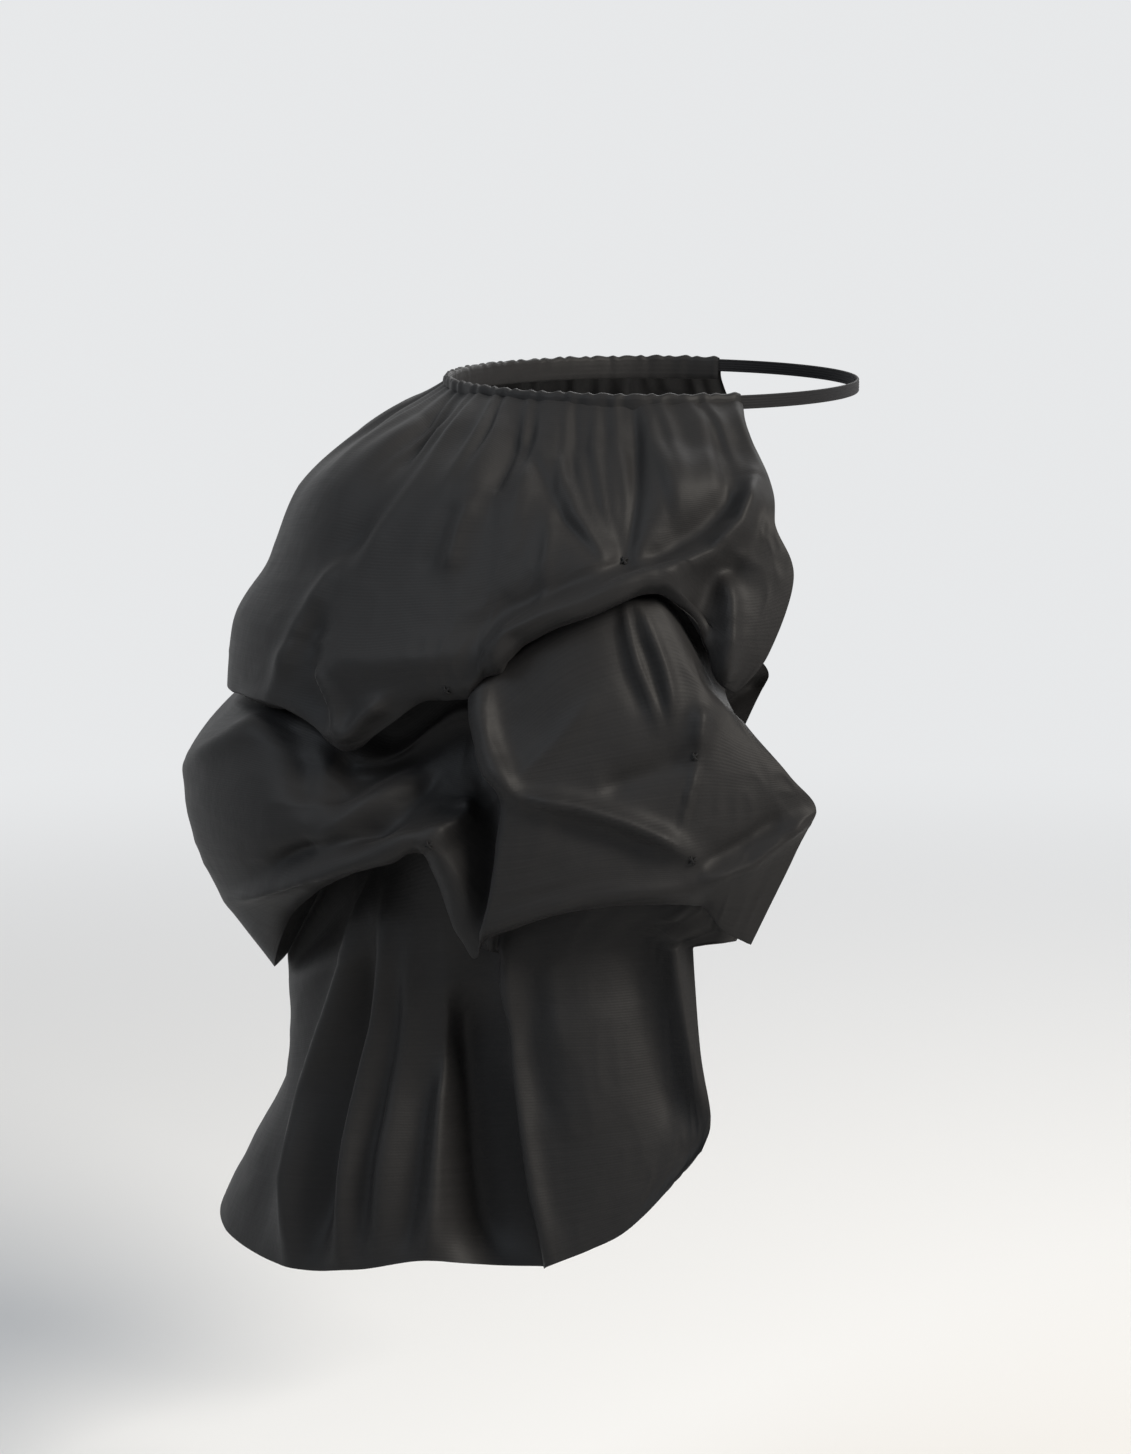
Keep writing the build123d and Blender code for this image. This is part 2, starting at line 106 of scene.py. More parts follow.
# The draped panel. Ten stations run from the side edge to the centre back: side edge, edge pouf, side tack,
# swag, side of the deep channel, channel, back tack, back swag, back pouf, centre back.
panel = {
    "columns": (206, 136), "rows": 291,  # columns on the right and on the left, rows from waist to hem
    "flat": (0.80, 0.58),               # cut width and length
    "waist": {"half": (128.0 * mm, 103.0 * mm), "edgeAngle": 22, "top": 0.5 * mm,
              "shares": (0, 0.09, 0.2, 0.32, 0.43, 0.5, 0.58, 0.71, 0.86, 1)},
    # fold lines: half width and half depth in front (mm), share of the rows, pixels of the ten stations, and
    # how far a station is pulled in (mm)
    "lines": {
        "gathers": (143, 128, 3, ((748, 425), (722, 428), (668, 432), (605, 436), (556, 438), (525, 438),
                                  (492, 436), (440, 428), (404, 420), (384, 423)), {}),
        "upperShoulder": (164, 165, 3, ((771, 482), (740, 482), (680, 484), (608, 486), (545, 490), (505, 490),
                                        (462, 490), (395, 486), (340, 480), (305, 486)), {}),
        "upperBelly": (180, 190, 3, ((775, 520), (748, 528), (672, 530), (605, 536), (535, 555), (490, 570),
                                     (440, 575), (365, 575), (303, 568), (268, 568)), {2: 4}),
        "upperLow": (189, 190, 3, ((794, 575), (750, 592), (660, 558), (585, 575), (510, 612), (472, 640),
                                   (428, 640), (345, 645), (275, 632), (236, 622)), {2: 5}),
        "upperNose": (192, 190, 2, ((768, 656), (736, 650), (657, 580), (577, 604), (495, 652), (466, 683),
                                    (425, 684), (340, 694), (262, 676), (230, 668)), {}),
        "upperFold": (187, 190, 2, ((735, 693), (722, 682), (652, 592), (574, 613), (490, 668), (466, 699),
                                    (430, 700), (350, 742), (278, 698), (229, 692)), {}),
        "lowerShoulder": (192, 190, 3, ((743, 722), (716, 695), (665, 645), (572, 672), (494, 735), (464, 745),
                                        (425, 745), (345, 775), (252, 738), (202, 746)), {5: 34, 6: 32, 7: 16}),
        "lowerBelly": (204, 190, 3, ((790, 776), (755, 775), (700, 765), (598, 780), (511, 790), (470, 800),
                                     (422, 800), (335, 805), (245, 800), (186, 785)), {5: 34, 6: 27, 7: 9}),
        "lowerLow": (207, 190, 3, ((815, 808), (765, 830), (697, 845), (600, 850), (500, 865), (474, 860),
                                   (420, 828), (335, 845), (255, 855), (195, 842)), {5: 26, 6: 10, 7: 2}),
        "lowerNose": (206, 190, 2, ((806, 830), (748, 862), (697, 884), (598, 892), (486, 925), (474, 925),
                                    (422, 842), (342, 867), (284, 887), (223, 904)), {5: 12}),
        "lowerFold": (197, 190, 2, ((751, 945), (722, 930), (695, 905), (598, 902), (484, 940), (473, 958),
                                    (424, 849), (345, 875), (296, 910), (276, 980)), {}),
        "tailTop": (178, 190, 3, ((693, 948), (672, 948), (640, 948), (575, 950), (507, 955), (490, 955),
                                  (440, 950), (385, 950), (330, 968), (288, 1000)), {5: 15}),
        "tailMiddle": (183, 190, 3, ((700, 1050), (682, 1055), (645, 1060), (585, 1062), (515, 1062),
                                     (497, 1060), (432, 1062), (370, 1062), (318, 1065), (281, 1078)), {5: 18}),
        "tailFlare": (190, 190, 3, ((711, 1118), (690, 1140), (652, 1160), (598, 1170), (530, 1178),
                                    (508, 1175), (430, 1170), (355, 1172), (292, 1172), (245, 1165)), {5: 18}),
        "hem": (196, 190, 1, ((700, 1150), (672, 1185), (628, 1230), (590, 1250), (547, 1267), (530, 1277),
                              (440, 1262), (352, 1270), (280, 1264), (221, 1222)), {5: 16}),
    },
    # tucks behind the two folds: depth, rise and drop below in mm, and the share of depth left at each station
    # behind the fold and below it
    "tucks": {
        "upperFold": {"depth": 27, "rise": 22, "under": (9, 8, 4, 3, 3, 8, 9, 9, 9, 9),
                      "left": (0.8, 0.7, 0.4, 0.35, 0.35, 1, 1.1, 1, 1, 1),
                      "below": (0.1, 0.1, 0.1, 0.1, 0.12, 0.9, 0.9, 0.5, 0.1, 0.1)},
        "lowerFold": {"depth": 25, "rise": 26, "under": None,
                      "left": (0.9, 0.8, 0.5, 0.8, 0.8, 0.6, 0.6, 1, 0.9, 0.25)},
    },
    # gathers: depth at the casing and below it, how far down they run, share left towards the side edge
    "gathers": {"top": 0.85 * mm, "depth": 3.0 * mm, "reach": 0.10, "side": 0.45},
    "creaseSpread": 1.25,               # how much broader the creases below are made
    "crumple": {"depth": 0.5 * mm, "cells": (40, 34), "seed": 5},
}

# Ridges (+) and valleys (-) pressed into the cloth: the tier they lie on, height in mm, half width in
# pixels, and the pixels that they run through.
creases = [
    # upper tier, back
    ("upper", -7, 9, ((458, 396), (428, 420), (387, 486), (347, 550), (330, 578))),
    ("upper", 3, 9, ((478, 402), (440, 440), (410, 480), (375, 535), (352, 575))),
    ("upper", 5, 6, ((352, 545), (327, 581), (300, 625), (287, 655), (278, 690))),
    ("upper", -6, 9, ((322, 600), (305, 640), (318, 690), (335, 730))),
    ("upper", -3, 7, ((525, 440), (505, 465), (488, 492))),
    ("upper", 3, 6, ((474, 497), (460, 525), (448, 572))),
    ("upper", -2, 8, ((455, 500), (440, 540), (425, 575))),
    ("upper", 2, 6, ((536, 410), (540, 455), (551, 500), (548, 545), (540, 605))),
    ("upper", 4, 13, ((315, 660), (350, 664), (425, 660), (480, 650))),
    ("upper", 8, 5.5, ((316, 662), (333, 700), (350, 740))),
    ("upper", 7, 5.5, ((350, 740), (368, 716), (386, 698))),
    ("upper", 5, 7, ((240, 697), (275, 697), (310, 720), (348, 742))),
    # upper tier, gathers drawn to the side tack
    ("upper", -4, 7, ((541, 405), (535, 460), (560, 517), (604, 562))),
    ("upper", 2, 8, ((562, 404), (556, 455), (580, 512), (608, 560))),
    ("upper", -3, 5, ((572, 402), (566, 450), (584, 508), (612, 558))),
    ("upper", -4, 6, ((588, 400), (584, 445), (595, 500), (616, 556))),
    ("upper", -3, 5, ((601, 400), (602, 450), (609, 505), (620, 556))),
    ("upper", -4, 6, ((613, 400), (618, 470), (623, 560))),
    ("upper", -5, 6, ((632, 398), (636, 440), (635, 490), (629, 560))),
    # upper tier, side
    ("upper", -3, 14, ((650, 428), (690, 440), (760, 448))),
    ("upper", 5, 26, ((660, 482), (690, 474), (722, 466))),
    ("upper", -6, 10, ((735, 492), (705, 522), (665, 548), (640, 562))),
    ("upper", 10, 7, ((752, 478), (748, 505), (739, 527), (712, 554), (658, 577))),
    ("upper", 8, 6, ((658, 571), (595, 597), (549, 614), (512, 632), (496, 652), (489, 680))),
    ("upper", -4, 9, ((645, 552), (590, 574), (545, 590), (508, 606), (482, 634))),
    ("upper", -9, 14, ((738, 552), (716, 585), (705, 615), (710, 642))),
    ("upper", 7, 7, ((724, 566), (730, 600), (730, 645), (724, 682))),
    # lower tier, side
    ("lower", 9, 6, ((487, 676), (489, 721), (498, 760), (510, 787), (516, 795))),
    ("lower", 8, 6, ((516, 795), (533, 799), (580, 807), (627, 822), (665, 838), (693, 857))),
    ("lower", -3, 14, ((545, 822), (600, 838), (655, 858))),
    ("lower", 4, 4.5, ((625, 602), (628, 632), (640, 672), (653, 704), (660, 727))),
    ("lower", -2, 5, ((634, 620), (645, 655), (657, 692), (665, 724))),
    ("lower", 4, 4.5, ((634, 602), (652, 634), (665, 668), (671, 695), (670, 722))),
    ("lower", -3, 8, ((615, 615), (625, 665), (648, 718))),
    ("lower", 2, 6, ((512, 787), (560, 740), (600, 693))),
    ("lower", -5, 10, ((690, 757), (650, 772), (600, 790))),
    ("lower", 6, 6, ((702, 708), (698, 748))),
    ("lower", 3, 18, ((686, 792), (694, 794))),
    ("lower", 3, 6, ((486, 932), (520, 924), (560, 908), (600, 898), (627, 892), (697, 886))),
    ("lower", 6, 6, ((697, 882), (750, 862), (812, 812))),
    ("lower", -4, 9, ((702, 868), (745, 845), (790, 815))),
    # lower tier, back
    ("lower", 5, 7, ((190, 765), (235, 738), (275, 715))),
    ("lower", -5, 12, ((285, 712), (302, 760), (300, 805))),
    ("lower", -8, 10, ((395, 695), (365, 735), (335, 775))),
    ("lower", 4, 8, ((425, 765), (372, 800), (310, 845))),
    ("lower", -5, 9, ((430, 748), (372, 772), (318, 806))),
    ("lower", -5, 8, ((440, 770), (398, 812), (352, 845))),
    ("lower", -4, 8, ((270, 870), (290, 857), (312, 845))),
    ("lower", 9, 5, ((234, 897), (315, 870), (405, 841), (424, 836))),
    ("lower", -4, 9, ((262, 866), (320, 846), (396, 820))),
    ("lower", 7, 6, ((428, 842), (463, 818), (467, 799))),
    ("lower", 4, 6, ((428, 846), (448, 880), (458, 915), (465, 945))),
    # tail
    ("tail", 12, 8, ((385, 868), (360, 950), (340, 1015), (315, 1090), (297, 1180), (293, 1262))),
    ("tail", -8, 12, ((345, 900), (318, 980), (296, 1070), (262, 1170), (255, 1235))),
    ("tail", 11, 7, ((397, 885), (392, 960), (380, 1030), (356, 1140), (340, 1255))),
    ("tail", -10, 8, ((376, 950), (356, 1050), (330, 1150), (316, 1250))),
    ("tail", 7, 8, ((416, 920), (408, 1000), (394, 1090), (376, 1240))),
    ("tail", -6, 9, ((404, 960), (390, 1060), (366, 1160), (358, 1250))),
    ("tail", -5, 9, ((418, 1060), (410, 1170), (400, 1255))),
    ("tail", 7, 8, ((440, 1060), (436, 1150), (430, 1258))),
    ("tail", -20, 27, ((464, 985), (474, 1100), (485, 1200), (496, 1275))),
    ("tail", 8, 8, ((505, 940), (512, 1065), (532, 1190), (549, 1262))),
    ("tail", 2, 12, ((545, 950), (550, 1000), (560, 1060))),
    ("tail", -3, 12, ((528, 950), (535, 1040), (548, 1130))),
    ("tail", 3, 28, ((565, 1000), (578, 1070), (590, 1140))),
    ("tail", -7, 20, ((618, 900), (642, 990), (664, 1070), (684, 1140))),
    ("tail", 8, 8, ((668, 905), (680, 1000), (695, 1080), (706, 1118))),
]


# Fields of one fold line: turn round the plan curve, height, half width, reach behind and in front, and pull
# towards the axis. A plan curve is two half ellipses on the waist axis: x = width cos, y = -reach sin.
def lineFields(halfWidth, halfFront, pixels, pulls):
    px, py = np.array(pixels, float).T
    width, front = halfWidth * mm, halfFront * mm
    backY, _ = pixelToPlane(px[-1:], py[-1:], 0.0)
    x = np.full(len(px), width)
    for _ in range(8):
        y, z = pixelToPlane(px, py, x)
        reach = np.where(y < 0, -backY, front)
        turn = np.arcsin(np.clip(-y / reach, -1, 1))
        x = width * np.cos(turn)
    turn[-1] = math.pi / 2
    pull = np.zeros(len(px))
    for station, amount in pulls.items():
        pull[station] = amount * mm
    same = np.ones(len(px))
    return np.stack([turn, z, width * same, -backY[0] * same, front * same, pull])


# The top edge: stations shared out along the part of the waist ellipse that the casing covers.
def waistFields():
    waist = panel["waist"]
    turn = np.radians(-waist["edgeAngle"] + np.array(waist["shares"]) * (90 + waist["edgeAngle"]))
    halfX, halfY = waist["half"]
    same = np.ones(len(turn))
    return np.stack([turn, waist["top"] * same, halfX * same, halfY * same, halfY * same, 0 * same])


# All lines from waist to hem with the hidden lines of the tucks, and how many rows each stretch gets.
def sheetFields():
    names, fields, weights = ["waist"], [waistFields()], [3]
    for name, (halfWidth, halfFront, weight, pixels, pulls) in panel["lines"].items():
        line = lineFields(halfWidth, halfFront, pixels, pulls)
        names.append(name)
        fields.append(line)
        weights.append(weight)
        tuck = panel["tucks"].get(name)
        if tuck is None:
            continue
        left = np.array(tuck["left"])
        for step, inShare, upShare in (("Rise", 0.6, 0.55), ("Top", 1.0, 1.0), ("Descent", 0.95, -0.1)):
            hidden = line.copy()
            hidden[5] += inShare * tuck["depth"] * left * mm
            hidden[1] += upShare * tuck["rise"] * left * mm
            names.append(name + step)
            fields.append(hidden)
            weights.append(0.6)
        if tuck["under"]:
            hidden = line.copy()
            hidden[5] += tuck["depth"] * np.array(tuck["below"]) * mm
            hidden[1] -= np.array(tuck["under"]) * mm
            names.append(name + "Under")
            fields.append(hidden)
            weights.append(0.6)
    return names, np.array(fields), np.array(weights[:-1])


# Points from the fields: an ellipse in plan, pulled towards the axis.
def fieldsToPoints(fields):
    turn, z, width, behind, front, pull = fields
    x = width * np.cos(turn)
    y = -np.where(turn > 0, behind, front) * np.sin(turn)
    keep = 1 - pull / np.maximum(np.hypot(x, y), 1e-6)
    return np.stack([x * keep, y * keep, z], axis=-1)


# Unit normals of a grid of points, outwards.
def gridNormals(points):
    down = np.gradient(points, axis=0)
    across = np.gradient(points, axis=1)
    normal = np.cross(across, down)
    return normal / np.maximum(np.linalg.norm(normal, axis=-1, keepdims=True), 1e-12)


# Distance of each pixel from a polyline, and how far along it (0 to 1) the nearest point lies.
def polylineDistance(px, py, corners):
    corners = np.array(corners, float)
    lengths = np.linalg.norm(np.diff(corners, axis=0), axis=1)
    total = lengths.sum()
    best = np.full(px.shape, 1e9)
    place = np.zeros(px.shape)
    start = 0.0
    for a, b, length in zip(corners[:-1], corners[1:], lengths):
        t = np.clip(((px - a[0]) * (b[0] - a[0]) + (py - a[1]) * (b[1] - a[1])) / length ** 2, 0, 1)
        gap = np.hypot(px - a[0] - t * (b[0] - a[0]), py - a[1] - t * (b[1] - a[1]))
        nearer = gap < best
        best = np.where(nearer, gap, best)
        place = np.where(nearer, (start + t * length) / total, place)
        start += length
    return best, place


# Seeded value noise on a grid, smoothed by the cubic curve in both directions.
def gridNoise(rows, columns, cellsDown, cellsAcross, seed):
    lattice = np.random.default_rng(seed).uniform(-1, 1, (cellsDown + 1, cellsAcross + 1))
    down = smoothThrough(lattice, np.linspace(0, cellsDown, rows))
    return smoothThrough(down.T, np.linspace(0, cellsAcross, columns)).T


# Rise from 0 at low to 1 at high, level at both ends: 3 t squared less 2 t cubed.
def smoothStep(low, high, value):
    t = np.clip((value - low) / (high - low), 0, 1)
    return t * t * (3 - 2 * t)


# Puckers round the waist, from -1 to 1: ridges and hollows by turns, uneven in height and spacing.
def gatherCurve(turns, perSide=37):
    chance = np.random.default_rng(perSide)
    heights = chance.uniform(0.35, 1.0, perSide + 1) * np.where(np.arange(perSide + 1) % 2, 1, -1)
    edge = math.radians(panel["waist"]["edgeAngle"])
    places = (turns + edge) / (math.pi / 2 + edge) * perSide
    places = places + 0.25 * np.sin(places * 1.7)
    return smoothThrough(heights, np.clip(places, 0, perSide))


# Right half of the sheet as a grid of points, rows from waist to hem and columns from edge to centre back.
def rightSheet(columns):
    names, fields, weights = sheetFields()
    counts = np.concatenate([[0], np.cumsum(weights)])
    rowPlaces = np.interp(np.linspace(0, counts[-1], panel["rows"]), counts, np.arange(len(names)))
    columnPlaces = np.linspace(0, len(panel["waist"]["shares"]) - 1, columns)
    # one more station, the mirror image of the last but one, keeps the cloth smooth across the centre back
    mirrored = fields[:, :, -2:-1].copy()
    mirrored[:, 0] = math.pi - mirrored[:, 0]
    down = smoothThrough(np.concatenate([fields, mirrored], axis=2), rowPlaces)
    across = np.moveaxis(smoothThrough(np.moveaxis(down, 2, 0), columnPlaces), 0, 2)
    points = fieldsToPoints(np.moveaxis(across, 1, 0))
    normals = gridNormals(points)
    px, py = spaceToPixel(points)

    def between(first, last, soft):
        a, b = names.index(first), names.index(last)
        return smoothStep(a - soft, a, rowPlaces) * (1 - smoothStep(b, b + soft, rowPlaces))

    masks = {
        "upper": between("waist", "upperFold", 0.8),
        "lower": between("upperFoldUnder", "lowerFold", 0.8),
        "tail": between("lowerFoldDescent", "hem", 0.6),
    }
    push = np.zeros(px.shape)
    for tier, height, halfWidth, corners in creases:
        gap, place = polylineDistance(px, py, corners)
        # a rounded crest that falls away as a bell curve
        reach = panel["creaseSpread"] * halfWidth
        crest = 0.35 * reach
        profile = np.exp(-((np.sqrt(gap ** 2 + crest ** 2) - crest) / reach) ** 1.3)
        ends = smoothStep(-0.12, 0.22, np.minimum(place, 1 - place))
        push += height * mm * profile * ends * masks[tier][:, None]
    # gathers run down from the casing, finer at the top and shallower towards the side edge, and die out
    gathers = panel["gathers"]
    fall = panel["waist"]["top"] - points[..., 2]
    turns = np.interp(columnPlaces, np.arange(len(fields[0][0])), fields[0][0])
    fade = smoothStep(gathers["reach"], 0, fall) * masks["upper"][:, None]
    below = gathers["depth"] * (1 - (1 - gathers["side"]) * smoothStep(650, 700, px))
    depth = gathers["top"] + (below - gathers["top"]) * smoothStep(0, 0.02, fall)
    ripples = gatherCurve(turns) * smoothStep(0.05, 0, fall)
    ripples = ripples + 0.9 * gatherCurve(turns, 15) * smoothStep(0, 0.03, fall)
    push += depth * ripples * fade
    crumple = panel["crumple"]
    rough = gridNoise(len(rowPlaces), columns, *crumple["cells"], crumple["seed"])
    push += crumple["depth"] * (0.5 - np.abs(rough)) * sum(masks.values())[:, None] * (1 - fade)
    return points + normals * push[..., None], names, rowPlaces


# Mesh from a grid of points with a UV map in metres along the cloth.
def gridMesh(name, points, uv, ring=False):
    rows, columns = points.shape[:2]
    index = np.arange(rows * columns).reshape(rows, columns)
    if ring:                            # the last row joins the first
        index = np.concatenate([index, index[:1]])
    quads = np.stack([index[:-1, :-1], index[1:, :-1], index[1:, 1:], index[:-1, 1:]], axis=-1).reshape(-1, 4)
    mesh = bpy.data.meshes.new(name)
    mesh.from_pydata(points.reshape(-1, 3).tolist(), [], quads.tolist())
    layer = mesh.uv_layers.new(name="cloth")
    loops = np.empty(len(mesh.loops), dtype=np.int32)
    mesh.loops.foreach_get("vertex_index", loops)
    layer.data.foreach_set("uv", uv.reshape(-1, 2)[loops].ravel())
    mesh.polygons.foreach_set("use_smooth", np.ones(len(mesh.polygons), dtype=bool))
    mesh.update()
    piece = bpy.data.objects.new(name, mesh)
    bpy.context.collection.objects.link(piece)
    return piece


# The right half and the mirror image of the left, edge to edge.
def addDrapedPanel(right, left):
    left = left[:, -2::-1] * np.array([-1, 1, 1])
    points = np.concatenate([right, left], axis=1)
    rows, columns = points.shape[:2]
    steps = np.linalg.norm(np.diff(points, axis=0), axis=-1)
    downLength = np.concatenate([np.zeros((1, columns)), np.cumsum(steps, axis=0)])
    steps = np.linalg.norm(np.diff(points, axis=1), axis=-1)
    acrossLength = np.concatenate([np.zeros((rows, 1)), np.cumsum(steps, axis=1)], axis=1)
    uv = np.stack([np.broadcast_to(acrossLength.mean(0), (rows, columns)),
                   np.broadcast_to(downLength.mean(1)[:, None], (rows, columns))], axis=-1)
    area = np.linalg.norm(np.cross(points[1:, :-1] - points[:-1, :-1], points[:-1, 1:] - points[:-1, :-1]),
                          axis=-1).sum()
    print("draped panel: mean width %.3f, mean length %.3f, area %.3f" %
          (acrossLength[:, -1].mean(), downLength[-1].mean(), area))
    return gridMesh("drapedPanel", points, uv)


# Half width and half depth of the elastic's inner face.
waistHalf = np.array([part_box("waist_elastic")[1].x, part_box("waist_elastic")[1].y]) - 1.2 * mm


# Point on that ellipse, moved out by an offset, at a height.
def waistPoints(turns, offset, z):
    x = (waistHalf[0] + offset) * np.cos(turns)
    y = -(waistHalf[1] + offset) * np.sin(turns)
    return np.stack(np.broadcast_arrays(x, y, z), axis=-1)


casing = {
    "top": 4.4 * mm, "bottom": -7.6 * mm,
    "outer": 2.6 * mm, "inner": -1.2 * mm,      # from the inner face of the elastic
    "pucker": 0.9 * mm, "ruffle": 0.6 * mm,     # in and out, and up and down at the top edge
    "columns": 900,
}


# A flat tube of cloth round the elastic: down the outside, round the bottom seam, up the inside and over the
# top, with puckers that run on into the gathers of the panel. Both ends close on the elastic.
def addCasing():
    edge = math.radians(panel["waist"]["edgeAngle"])
    turns = np.linspace(-edge, math.pi + edge, casing["columns"])
    pucker = gatherCurve(np.minimum(turns, math.pi - turns))
    ends = smoothStep(0, 0.03, np.minimum(turns - turns[0], turns[-1] - turns))
    height = casing["top"] - casing["bottom"]
    section = np.array([                        # share of the way out, share of the way up, share of pucker
        (0.75, 0.985, 0.5), (0.95, 0.9, 0.6), (1, 0.75, 0.75), (1, 0.5, 0.9), (1, 0.25, 1), (0.97, 0.08, 1),
        (0.8, 0, 0.9), (0.4, 0, 0.5), (0.06, 0.05, 0.2), (0, 0.25, 0.2), (0, 0.5, 0.2), (0, 0.8, 0.3),
        (0.1, 0.95, 0.4), (0.4, 1, 0.5)])
    out, up, share = (column[:, None] for column in section.T)
    width = casing["outer"] - casing["inner"]
    offset = casing["inner"] + width * out + casing["pucker"] * share * pucker
    ruffle = gatherCurve(np.minimum(turns, math.pi - turns), 52)
    z = casing["bottom"] + height * up + casing["ruffle"] * up ** 3 * ruffle
    middle = casing["inner"] + 0.5 * width
    offset = middle + (offset - middle) * (0.6 + 0.4 * ends)
    points = waistPoints(turns, offset, z)
    length = np.linspace(0, 1.9 * waistHalf.mean() * 2, casing["columns"])
    around = np.cumsum(np.full(len(section), 1.7 * mm))
    uv = np.stack(np.broadcast_arrays(length[None, :], around[:, None]), axis=-1)
    return gridMesh("waistCasing", points[::-1], uv[::-1], ring=True)


elastic = {"width": 6.4 * mm, "thickness": 1.2 * mm, "ribs": 5, "columns": 420}


# A flat loop with rounded edges and lengthwise ribs: a rounded section carried round the waist ellipse.
def addElastic():
    turns = np.linspace(0, 2 * math.pi, elastic["columns"])
    angle = np.linspace(0, 2 * math.pi, 48, endpoint=False)
    across, along = np.cos(angle), np.sin(angle)
    flatten = np.sign(across) * np.abs(across) ** 0.25 * elastic["thickness"] / 2
    rib = 0.1 * mm * np.cos(along * math.pi * elastic["ribs"]) * np.sign(across)
    offset = elastic["thickness"] / 2 + flatten + rib
    points = waistPoints(turns[None, :], offset[:, None], (along * elastic["width"] / 2)[:, None])
    length = turns * waistHalf.mean()
    uv = np.stack(np.broadcast_arrays(length[None, :], (along * elastic["width"])[:, None]), axis=-1)
    return gridMesh("waistElastic", points[::-1], uv[::-1], ring=True)


# Rounded thread bars from start to end points, one mesh: a ring of points carried along each bar, its radius
# falling to nothing at both ends.
def threadBars(name, starts, ends, radius, sag):
    starts, ends = np.asarray(starts), np.asarray(ends)
    count, sides = len(starts), 8
    steps = np.array([0, 0.04, 0.15, 0.35, 0.5, 0.65, 0.85, 0.96, 1])
    size = np.array([0.02, 0.6, 1, 1, 1, 1, 1, 0.6, 0.02]) * radius
    axis = ends - starts
    axis = axis / np.linalg.norm(axis, axis=1, keepdims=True)
    lift = np.asarray(sag)
    side = np.cross(axis, lift)
    side = side / np.maximum(np.linalg.norm(side, axis=1, keepdims=True), 1e-9)
    top = np.cross(side, axis)
    spots = starts[:, None] + (ends - starts)[:, None] * steps[:, None]
    spots = spots + lift[:, None] * np.sin(steps * math.pi)[:, None]
    ring = np.linspace(0, 2 * math.pi, sides, endpoint=False)
    wheel = np.cos(ring)[:, None] * side[:, None, None] + np.sin(ring)[:, None] * top[:, None, None]
    points = spots[:, :, None] + wheel * size[:, None, None]
    index = np.arange(count * len(steps) * sides).reshape(count, len(steps), sides)
    nextSide = np.roll(index, -1, axis=2)
    quads = np.stack([index[:, :-1], nextSide[:, :-1], nextSide[:, 1:], index[:, 1:]], axis=-1).reshape(-1, 4)
    mesh = bpy.data.meshes.new(name)
    mesh.from_pydata(points.reshape(-1, 3).tolist(), [], quads.tolist())
    mesh.polygons.foreach_set("use_smooth", np.ones(len(mesh.polygons), dtype=bool))
    mesh.update()
    piece = bpy.data.objects.new(name, mesh)
    bpy.context.collection.objects.link(piece)
    return piece


tacks = {
    "radius": 0.45 * mm,
    "stations": (2, 6), "rows": (("upperNose", "upperFoldTop"), ("lowerNose", "lowerFoldTop")),
    "dots": {"upper": ((625, 561), (446, 690)), "lower": ((693, 756), (694, 860), (428, 846))},
    "stitch": 5 * mm,
}


# Thread from the back of each pouf to the top of the tuck behind it, and the small crossed stitches that show.
def addTacks(right, names, rowPlaces):
    normals = gridNormals(right)
    starts, ends, sags = [], [], []
    lastStation = len(panel["waist"]["shares"]) - 1
    for station in tacks["stations"]:
        column = round(station / lastStation * (right.shape[1] - 1))
        for pouf, tuck in tacks["rows"]:
            spots = []
            for name in (pouf, tuck):
                row = int(np.argmin(np.abs(rowPlaces - names.index(name))))
                spots.append(right[row, column] - normals[row, column] * 0.8 * mm)
            starts.append(spots[0])
            ends.append(spots[1])
            sags.append((0, 0, -0.5 * mm))
    px, py = spaceToPixel(right)
    limits = {"upper": ("waist", "upperFold"), "lower": ("upperFoldUnder", "lowerFold")}
    for tier, dots in tacks["dots"].items():
        first, last = (names.index(name) for name in limits[tier])
        inTier = (rowPlaces >= first) & (rowPlaces <= last)
        for dot in dots:
            gap = np.hypot(px - dot[0], py - dot[1]) + 1e6 * ~inTier[:, None]
            row, column = np.unravel_index(np.argmin(gap), gap.shape)
            spot, normal = right[row, column], normals[row, column]
            side = np.cross(normal, (0, 0, 1))
            side = side / np.linalg.norm(side)
            rise = np.cross(side, normal)
            for direction in (side + rise, side - rise, side * 0.4 + rise):
                step = direction / np.linalg.norm(direction) * tacks["stitch"] / 2
                starts.append(spot - step + normal * 0.1 * mm)
                ends.append(spot + step + normal * 0.1 * mm)
                sags.append(normal * 0.9 * mm)
    flip = np.array([-1, 1, 1])
    starts, ends, sags = (np.concatenate([np.array(values), np.array(values) * flip])
                          for values in (starts, ends, sags))
    return threadBars("tackStitches", starts, ends, tacks["radius"], sags)


seam = {"pitch": 3.2 * mm, "stitch": 2.4 * mm, "radius": 0.22 * mm, "height": -6.2 * mm}


# Running stitches that close the casing, on its outer wall.
def addSeam():
    edge = math.radians(panel["waist"]["edgeAngle"])
    count = int((math.pi + 2 * edge) * waistHalf.mean() / seam["pitch"])
    turns = np.linspace(-edge + 0.02, math.pi + edge - 0.02, count)
    half = seam["stitch"] / 2 / waistHalf.mean()
    ends = []
    for shift in (-half, half):
        spots = turns + shift
        offset = casing["outer"] + casing["pucker"] * gatherCurve(np.minimum(spots, math.pi - spots))
        ends.append(waistPoints(spots, offset, seam["height"]))
    outwards = waistPoints(turns, 0, 0) * 2 * mm
    return threadBars("casingSeam", *ends, seam["radius"], outwards)


# A shader node with its sockets and settings.
def node(tree, kind, **values):
    made = tree.nodes.new(kind)
    for name, value in values.items():
        if name in made.inputs:
            made.inputs[name].default_value = value
        else:
            setattr(made, name, value)
    return made


